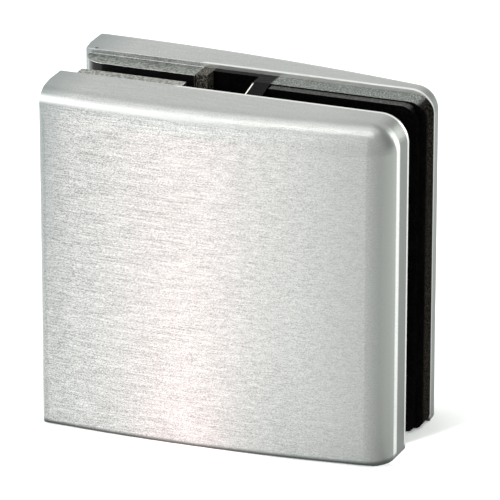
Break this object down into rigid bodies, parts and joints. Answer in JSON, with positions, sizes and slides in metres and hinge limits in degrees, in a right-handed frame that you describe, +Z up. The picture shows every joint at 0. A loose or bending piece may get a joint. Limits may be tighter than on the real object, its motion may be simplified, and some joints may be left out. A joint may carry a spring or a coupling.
{
  "type": "glass clamp",
  "caption": "Square glass clamp: bowed metal halves drawn together by countersunk screws, with a rubber-lined slot that grips the edge of a pane.",
  "frame": {"origin": "bottom centre of the whole clamp as it stands on its lower edges", "axes": "+X from the closed end to the open end of the slot, +Y from the front half to the back half, +Z up"},
  "size_m": [0.0533, 0.0308, 0.05],
  "materials": {
    "satin_steel": "fine horizontal brushing, satin",
    "plain_steel": "turned, plain",
    "black_rubber": "matt, cut edges"
  },
  "bodies": {
    "back": {"back_half": "satin_steel", "back_liner": "black_rubber", "packing_pad": "black_rubber"},
    "front": {"front_half": "satin_steel", "front_gasket": "black_rubber"},
    "upper_screw": {"upper_screw": "plain_steel"},
    "lower_screw": {"lower_screw": "plain_steel"}
  },
  "joints": [
    {"name": "jaw_slide", "type": "slide", "parent": "back", "child": "front", "axis": [0, 1, 0], "range_m": [-0.0025, 0.003]},
    {"name": "upper_screw_turn", "type": "hinge", "parent": "back", "child": "upper_screw", "pos_m": [-0.01605, 0.006, 0.037], "axis": [0, 1, 0], "range_deg": [-1080, 900]},
    {"name": "lower_screw_turn", "type": "hinge", "parent": "back", "child": "lower_screw", "pos_m": [-0.01605, 0.006, 0.013], "axis": [0, 1, 0], "range_deg": [-1080, 900]}
  ],
  "couplings": [
    {"joint": "upper_screw_turn", "follows": "jaw_slide", "rad_per_m": -6283.2},
    {"joint": "lower_screw_turn", "follows": "jaw_slide", "rad_per_m": -6283.2}
  ]
}
